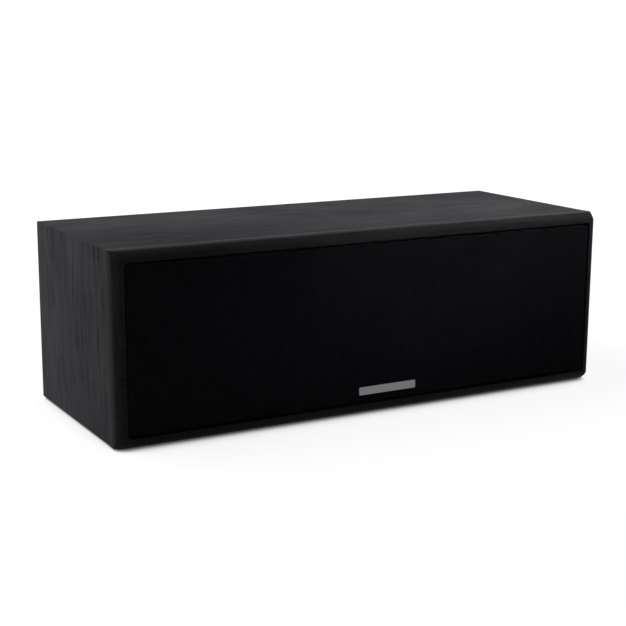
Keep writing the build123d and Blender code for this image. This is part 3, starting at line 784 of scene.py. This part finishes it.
def woofer_cone(side):
    """A shallow cone with pressed ribs, a flat lip and an open neck."""
    node = f"woofer_{side}_cone"
    low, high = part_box(node)
    lip = radius_of(node)
    rim = lip - SURROUND_LAP
    neck = radius_of(f"woofer_{side}_voice_coil") + COIL_CLEARANCE
    depth = high.y - low.y - CONE_THICKNESS
    front = [(lip, low.y)]
    for i in range(CONE_STEPS + 1):
        t = i / CONE_STEPS
        rib = 0.0
        if CONE_RIBS_START < t < CONE_RIBS_END:
            rib = max(0.0, math.cos(2 * math.pi * CONE_RIBS * t)) ** CONE_RIB_POWER
        y = low.y + depth * t + CONE_BOW * math.sin(math.pi * t) - CONE_RIB_HEIGHT * rib
        front.append((rim + (neck - rim) * t, y))
    back = [(radius, y + CONE_THICKNESS) for radius, y in reversed(front)]
    piece = lathe(f"{node}_pressed", "cone_paper", front + back, WOOFER_CENTRES[side])
    seated(piece, BODY_OF[node], node)


def dust_cap(side):
    """A low dome of cloth over the cone's neck."""
    node = f"woofer_{side}_dust_cap"
    low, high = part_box(node)
    reach = radius_of(node)
    front = domed(reach, high.y, low.y, CAP_STEPS)
    profile = [*front, (0.0, high.y - CAP_HOLLOW), (reach - CAP_LIP, high.y)]
    piece = lathe(f"{node}_domed", "dust_cap", profile, WOOFER_CENTRES[side])
    seated(piece, BODY_OF[node], node)


def woofer_surround(side):
    """A half-round rubber roll in sectors, between the flange and the cone."""
    low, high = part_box("woofer_surrounds")
    outer = radius_of("woofer_surrounds")
    mouth = outer - SURROUND_LAP
    lip = radius_of(f"woofer_{side}_cone")
    inner = lip - SURROUND_LAP
    roll = high.y - low.y
    front = bow((mouth, high.y), (lip, high.y), roll, SURROUND_ROLL_STEPS)
    back = bow(
        (lip + SURROUND_THICKNESS, high.y),
        (mouth - SURROUND_THICKNESS, high.y),
        roll - SURROUND_THICKNESS,
        SURROUND_ROLL_STEPS,
    )
    land = high.y - SURROUND_SKIN
    profile = [
        (outer, high.y),
        (outer - SURROUND_EDGE, land),
        (mouth + SURROUND_FOOT, land),
        *front[1:-1],
        (lip - SURROUND_FOOT, land),
        (inner + SURROUND_EDGE, land),
        (inner, high.y),
        *back,
    ]
    turn = 360.0 / SURROUND_SECTORS
    x, z = WOOFER_CENTRES[side]
    for i in range(SURROUND_SECTORS):
        piece = lathe(
            f"woofer_{side}_surround_{i + 1:02d}",
            "rubber",
            profile,
            (x, z),
            start=turn * i,
            turn=turn,
            steps=SURROUND_STEPS,
        )
        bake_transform(piece)
        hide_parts("woofer_surrounds")


def spiders():
    """Amber corrugated discs between each coil and the back of its basket."""
    low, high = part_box("woofer_spiders")
    rim = radius_of("woofer_spiders")
    hub = radius_of("woofer_left_voice_coil") + COIL_CLEARANCE
    steps = SPIDER_WAVES * SPIDER_WAVE_STEPS
    front = []
    for i in range(steps + 1):
        t = i / steps
        fade = min(1.0, SPIDER_FADE * t, SPIDER_FADE * (1 - t))
        wave = SPIDER_WAVE_HEIGHT * fade * math.sin(2 * math.pi * SPIDER_WAVES * t)
        front.append((hub + (rim - hub) * t, low.y + wave))
    back = [(radius, y + (high.y - low.y) / 2) for radius, y in reversed(front)]
    made = bmesh.new()
    for centre in WOOFER_CENTRES.values():
        turn_profile(made, front + back, centre, closed=True)
    seated(new_piece("woofer_spiders_corrugated", made, "spider_cloth"), "cabinet", "woofer_spiders")


def tweeter_front():
    """The silk dome and the small half-round roll that holds it."""
    ring_low, ring_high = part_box("tweeter_surround")
    low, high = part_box("tweeter_dome")
    reach = radius_of("tweeter_dome")
    front = domed(reach, ring_high.y, low.y, DOME_STEPS)
    inside = [(max(radius - DOME_THICKNESS, 0.0), y + DOME_THICKNESS) for radius, y in reversed(front)]
    profile = [*front, *inside, (reach - DOME_THICKNESS, high.y), (reach, high.y)]
    dome = lathe("tweeter_dome_silk", "dome_silk", profile, TWEETER_CENTRE)
    seated(dome, "tweeter_moving", "tweeter_dome")

    outer = radius_of("tweeter_surround")
    roll_inner = reach + ROLL_GAP
    roll_outer = reach + ROLL_REACH
    roll = bow((roll_outer, ring_low.y), (roll_inner, ring_low.y), ROLL_HEIGHT, ROLL_STEPS)
    profile = [(outer, ring_high.y), (outer, ring_low.y), *roll, (roll_inner, ring_high.y)]
    ring = lathe("tweeter_surround_roll", "dome_silk", profile, TWEETER_CENTRE)
    seated(ring, "cabinet", "tweeter_surround")


def add_screw(made, x, y, z, way, length):
    """A pan-head screw with a cross recess: its head is on the face at y, and its shank points along way."""
    head = []
    for i in range(SCREW_CROWN_STEPS + 1):
        a = math.pi / 2 * i / SCREW_CROWN_STEPS
        radius = SCREW_HEAD_RADIUS * (SCREW_FACE + (1 - SCREW_FACE) * math.cos(a))
        head.append((radius, -SCREW_HEAD_HEIGHT * (SCREW_SIDE + (1 - SCREW_SIDE) * math.sin(a))))
    flat = head[-1][0]
    face = [(flat * (1 - i / SCREW_FACE_RINGS), -SCREW_HEAD_HEIGHT) for i in range(1, SCREW_FACE_RINGS + 1)]
    thread = []
    for i in range(int(length / SCREW_THREAD_PITCH) - SCREW_TIP_TURNS):
        thread.append((SCREW_RADIUS, SCREW_THREAD_PITCH * (i + 1)))
        thread.append((SCREW_RADIUS - SCREW_THREAD_DEPTH, SCREW_THREAD_PITCH * (i + 1.5)))
    shank = [(0.0, length), *reversed(thread), (SCREW_RADIUS, 0.0)]
    profile = [*shank, (SCREW_HEAD_RADIUS, 0.0), *head, *face]
    before = len(made.verts)
    turn_profile(made, [(radius, y + way * along) for radius, along in profile], (x, z), steps=SCREW_STEPS)
    made.verts.ensure_lookup_table()
    top = y - way * SCREW_HEAD_HEIGHT
    for vert in made.verts[before:]:
        dx, dz = abs(vert.co.x - x), abs(vert.co.z - z)
        on_face = abs(vert.co.y - top) <= SAME_HEIGHT
        if on_face and max(dx, dz) <= CROSS_REACH and min(dx, dz) < CROSS_WIDTH:
            slope = 1 - max(dx, dz) / CROSS_REACH
            vert.co.y += way * CROSS_DEPTH * min(1.0, CROSS_END + slope)


def driver_screw_places(node, centres):
    """The places of four screws round each driver, from the node's box."""
    reach = radius_of(node) - SCREW_HEAD_RADIUS
    corners = [(sx * reach, sz * reach) for sx in (-1, 1) for sz in (-1, 1)]
    return [(x + dx, z + dz) for x, z in centres for dx, dz in corners]


def terminal_screw_places():
    """The places of the four screws at the corners of the terminal cup."""
    low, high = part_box("terminal_screws")
    return [
        (x, z)
        for x in (low.x + SCREW_HEAD_RADIUS, high.x - SCREW_HEAD_RADIUS)
        for z in (low.z + SCREW_HEAD_RADIUS, high.z - SCREW_HEAD_RADIUS)
    ]


def screws(node, places, way):
    """The screws of a node, whose shanks point along way."""
    low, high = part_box(node)
    face = low.y + SCREW_HEAD_HEIGHT if way == REARWARD else high.y - SCREW_HEAD_HEIGHT
    made = bmesh.new()
    for x, z in places:
        add_screw(made, x, face, z, way, high.y - low.y - SCREW_HEAD_HEIGHT)
    seated(new_piece(f"{node}_crossed", made, "screw_steel"), "cabinet", node)


def port():
    """The port: a straight tube with a smooth flare and a thin flange."""
    low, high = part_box("port_tube")
    centre = ((low.x + high.x) / 2, MIDDLE_Z)
    flange = (high.x - low.x) / 2
    flare_centre = (PORT_BORE_RADIUS + PORT_FLARE, high.y - PORT_FLARE)
    profile = [
        (PORT_BORE_RADIUS + PORT_WALL, low.y),
        (PORT_BORE_RADIUS + PORT_WALL, high.y - PORT_FLANGE),
        (flange, high.y - PORT_FLANGE),
        *arc((flange - PORT_LIP, high.y - PORT_LIP), PORT_LIP, 0.0, 90.0, PORT_LIP_STEPS),
        *arc(flare_centre, PORT_FLARE, 90.0, 180.0, PORT_FLARE_STEPS),
        (PORT_BORE_RADIUS, low.y),
    ]
    seated(lathe("port_tube_flared", "terminal_plastic", profile, centre), "cabinet", "port_tube")


def wadding():
    """A soft block of fibre that bulges and is lumpy all over."""
    low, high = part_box("damping_wadding")
    centre = (low + high) / 2
    half = (high - low) / 2
    made = bmesh.new()
    bmesh.ops.create_cube(made, size=2.0)
    bmesh.ops.subdivide_edges(made, edges=made.edges, cuts=WADDING_CUTS, use_grid_fill=True)
    for vert in made.verts:
        p = vert.co.copy()
        lump = WADDING_LUMP * (noise.noise(p * WADDING_LUMPS) - WADDING_LUMP_BIAS)
        for k in range(3):
            edges = (p[(k + 1) % 3] ** 4 + p[(k + 2) % 3] ** 4) / 2
            vert.co[k] = centre[k] + half[k] * p[k] * (1 - WADDING_PINCH * edges + lump)
    piece = new_piece("damping_wadding_fill", made, "wadding")
    seated(piece, "cabinet", "damping_wadding")


for node, solid in frame["nodes"].items():
    solid.material_slots[0].material = SURFACES[SLOT_OF[node]].material
for node, edge in EASED.items():
    ease_edges(node, edge)
grille_sheet()
badge()
for side in WOOFER_CENTRES:
    woofer_cone(side)
    dust_cap(side)
    woofer_surround(side)
spiders()
tweeter_front()
screws("woofer_screws", driver_screw_places("woofer_screws", WOOFER_CENTRES.values()), REARWARD)
screws("tweeter_screws", driver_screw_places("tweeter_screws", [TWEETER_CENTRE]), REARWARD)
screws("terminal_screws", terminal_screw_places(), FORWARD)
port()
wadding()


# Floor, light and camera

def floor():
    """White paper that keeps the shadow of the object and is plain white farther off."""
    made = bmesh.new()
    bmesh.ops.create_circle(made, cap_ends=True, segments=FLOOR_SEGMENTS, radius=FLOOR_RADIUS)
    mesh = bpy.data.meshes.new("studio_floor")
    made.to_mesh(mesh)
    made.free()
    piece = bpy.data.objects.new("studio_floor", mesh)
    bpy.context.scene.collection.objects.link(piece)
    material = bpy.data.materials.new("studio_floor")
    material.use_nodes = True
    mesh.materials.append(material)
    graph = Graph(material.node_tree)
    graph.tree.nodes.remove(graph.tree.nodes["Principled BSDF"])
    paper = graph.node("ShaderNodeBsdfDiffuse", {"Color": (*grey(FLOOR_PAPER), 1.0)})
    shade = graph.node("ShaderNodeBsdfDiffuse", {"Color": (*grey(FLOOR_SHADE), 1.0)})
    away = graph.node("ShaderNodeVectorMath", {0: graph.place()}, "Value", operation="LENGTH")
    level = graph.remap(away, FLOOR_NEAR, FLOOR_FAR, FLOOR_GLOW, 1.0)
    openness = graph.node("ShaderNodeAmbientOcclusion", {"Distance": CONTACT_REACH}, "AO")
    strength = graph.math("MULTIPLY", level, graph.remap(openness, 0.0, CONTACT_OPEN))
    glow = graph.node("ShaderNodeEmission", {"Strength": strength})
    seen = graph.node("ShaderNodeAddShader", {0: shade, 1: glow})
    mix = graph.node("ShaderNodeMixShader", {0: graph.seen_ray(), 1: paper, 2: seen})
    graph.tree.links.new(mix, graph.tree.nodes["Material Output"].inputs["Surface"])


def studio_world():
    """White where the camera sees it, and elsewhere a soft light that is stronger from the rear."""
    world = bpy.data.worlds.new("studio_world")
    world.use_nodes = True
    bpy.context.scene.world = world
    graph = Graph(world.node_tree)
    background = graph.tree.nodes["Background"]
    background.inputs["Color"].default_value = (1.0, 1.0, 1.0, 1.0)
    _, rearward, _ = graph.split(graph.node("ShaderNodeTexCoord", {}, "Generated"))
    light = graph.remap(rearward, -1.0, 1.0, WORLD_FRONT, WORLD_REAR)
    graph.tree.links.new(graph.choose(graph.seen_ray(), light, 1.0), background.inputs["Strength"])


def softbox(name, place, target, size, watts, beam=FULL_BEAM):
    data = bpy.data.lights.new(name, "AREA")
    data.shape = "RECTANGLE"
    data.size, data.size_y = size
    data.energy = watts
    data.spread = math.radians(beam)
    lamp = bpy.data.objects.new(name, data)
    lamp.location = place
    lamp.rotation_mode = "QUATERNION"
    lamp.rotation_quaternion = (Vector(target) - Vector(place)).to_track_quat("-Z", "Y")
    bpy.context.scene.collection.objects.link(lamp)


def camera():
    azimuth = math.radians(CAMERA_AZIMUTH)
    elevation = math.radians(CAMERA_ELEVATION)
    roll = math.radians(CAMERA_ROLL)
    level = math.cos(elevation)
    back = Vector((math.sin(azimuth) * level, -math.cos(azimuth) * level, math.sin(elevation)))
    right = Vector((math.cos(azimuth), math.sin(azimuth), 0.0))
    up = back.cross(right)
    place = (back * CAMERA_DISTANCE + right * CAMERA_RIGHT + up * CAMERA_UP) * MM
    turned_right = right * math.cos(roll) + up * math.sin(roll)
    turned_up = up * math.cos(roll) - right * math.sin(roll)
    data = bpy.data.cameras.new("photo_camera")
    data.sensor_width = SENSOR_WIDTH
    data.lens = FOCAL_PIXELS * SENSOR_WIDTH / IMAGE_PIXELS
    data.clip_start = CAMERA_NEAREST * MM
    data.clip_end = CAMERA_FARTHEST * MM
    view = bpy.data.objects.new("photo_camera", data)
    axes = Matrix((turned_right, turned_up, back)).transposed()
    view.matrix_world = Matrix.Translation(place) @ axes.to_4x4()
    bpy.context.scene.collection.objects.link(view)
    bpy.context.scene.camera = view


floor()
studio_world()
for name, lamp in LAMPS.items():
    softbox(name, **lamp)
camera()
bpy.context.scene.view_settings.view_transform = "Standard"
